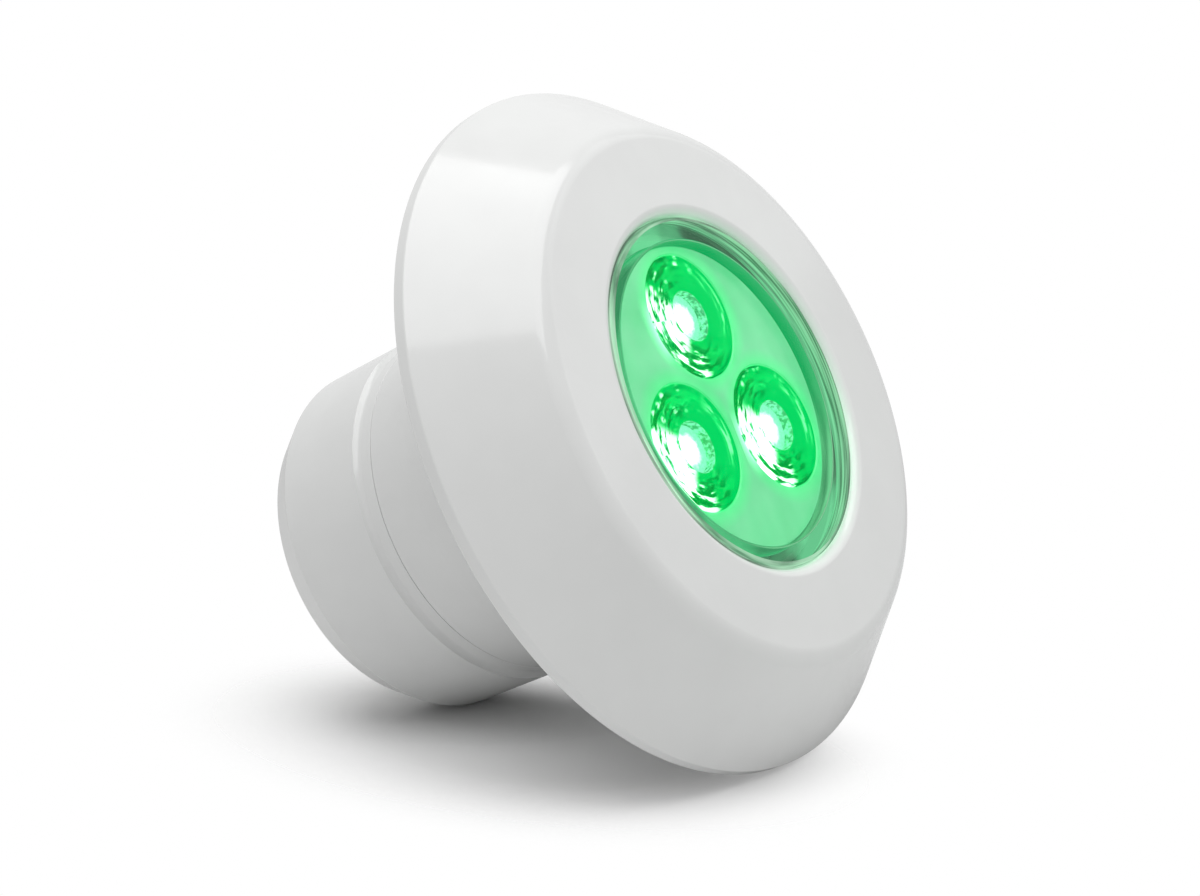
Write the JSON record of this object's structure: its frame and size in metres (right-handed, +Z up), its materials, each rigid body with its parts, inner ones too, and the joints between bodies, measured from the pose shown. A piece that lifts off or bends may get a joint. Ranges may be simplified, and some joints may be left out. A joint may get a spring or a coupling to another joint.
{
  "type": "underwater pool light",
  "caption": "Recessed pool wall light: round conical faceplate with a clear window over collimated LEDs, on a sealed barrel with a screw rear cap and cable gland.",
  "frame": {"origin": "centre of the housing flange's rear plane, where it bears on the pool wall, on the barrel's axis", "axes": "+Y along the barrel into the wall, so the light shines towards -Y; +Z up, with one LED straight above the axis and two below it; +X completes the right-handed frame"},
  "size_m": [0.11, 0.0832, 0.11],
  "materials": {
    "white_abs": "moulded, semi-gloss",
    "white_nylon": "moulded, satin",
    "grey_epdm": "moulded rubber, matt",
    "black_nitrile": "moulded rubber, satin",
    "clear_polycarbonate": "polished moulding",
    "collimator_acrylic": "polished moulding",
    "glowing_optic_plate": "translucent, lit from behind",
    "white_holder": "moulded, satin",
    "led_package": "lit dome",
    "white_board": "solder mask",
    "green_board": "solder mask",
    "thermal_pad": "silicone pad, matt",
    "aluminium": "machined",
    "stainless_steel": "turned",
    "brass": "turned",
    "dark_ferrite": "sintered",
    "capacitor_sleeve": "shrunk sleeve",
    "black_epoxy": "moulded",
    "terminal_green": "moulded",
    "lead_insulation": "extruded"
  },
  "bodies": {
    "housing": {"housing": "white_abs", "wall_gasket": "grey_epdm", "lens": "clear_polycarbonate", "lens_seal": "black_nitrile", "lens_retainer": "white_abs", "retainer_screws": "stainless_steel", "optic_plate": "glowing_optic_plate", "collimator_1": "collimator_acrylic", "collimator_2": "collimator_acrylic", "collimator_3": "collimator_acrylic", "collimator_holder_1": "white_holder", "collimator_holder_2": "white_holder", "collimator_holder_3": "white_holder", "led_1": "led_package", "led_2": "led_package", "led_3": "led_package", "led_board": "white_board", "board_screws": "stainless_steel", "thermal_pad": "thermal_pad", "heat_sink": "aluminium", "driver_standoffs": "brass", "driver_board": "green_board", "driver_screws": "stainless_steel", "inductor": "dark_ferrite", "capacitors": "capacitor_sleeve", "rectifier": "black_epoxy", "driver_chip": "black_epoxy", "terminal_block": "terminal_green", "terminal_screws": "stainless_steel", "led_leads": "lead_insulation"},
    "faceplate": {"faceplate": "white_abs"},
    "cap_seal": {"cap_seal": "black_nitrile"},
    "rear_cap": {"rear_cap": "white_abs", "gland_body": "white_nylon", "gland_seal": "black_nitrile", "gland_locknut": "white_nylon", "cable_sleeve": "grey_epdm"},
    "gland_washer": {"gland_washer": "white_nylon"},
    "gland_nut": {"gland_nut": "white_nylon"}
  },
  "joints": [
    {"name": "faceplate_twist", "type": "hinge", "parent": "housing", "child": "faceplate", "pos_m": [0, 0, 0], "axis": [0, -1, 0], "range_deg": [0, 24]},
    {"name": "cap_advance", "type": "slide", "parent": "housing", "child": "cap_seal", "axis": [0, 1, 0], "range_m": [0, 0.006]},
    {"name": "cap_turn", "type": "hinge", "parent": "cap_seal", "child": "rear_cap", "pos_m": [0, 0, 0], "axis": [0, 1, 0], "range_deg": [0, 720]},
    {"name": "nut_advance", "type": "slide", "parent": "rear_cap", "child": "gland_washer", "axis": [0, 1, 0], "range_m": [0, 0.003]},
    {"name": "nut_turn", "type": "hinge", "parent": "gland_washer", "child": "gland_nut", "pos_m": [0, 0, 0], "axis": [0, 1, 0], "range_deg": [0, 720]}
  ],
  "couplings": [
    {"joint": "cap_advance", "follows": "cap_turn", "m_per_rad": 0.00047746},
    {"joint": "nut_advance", "follows": "nut_turn", "m_per_rad": 0.00023873}
  ]
}
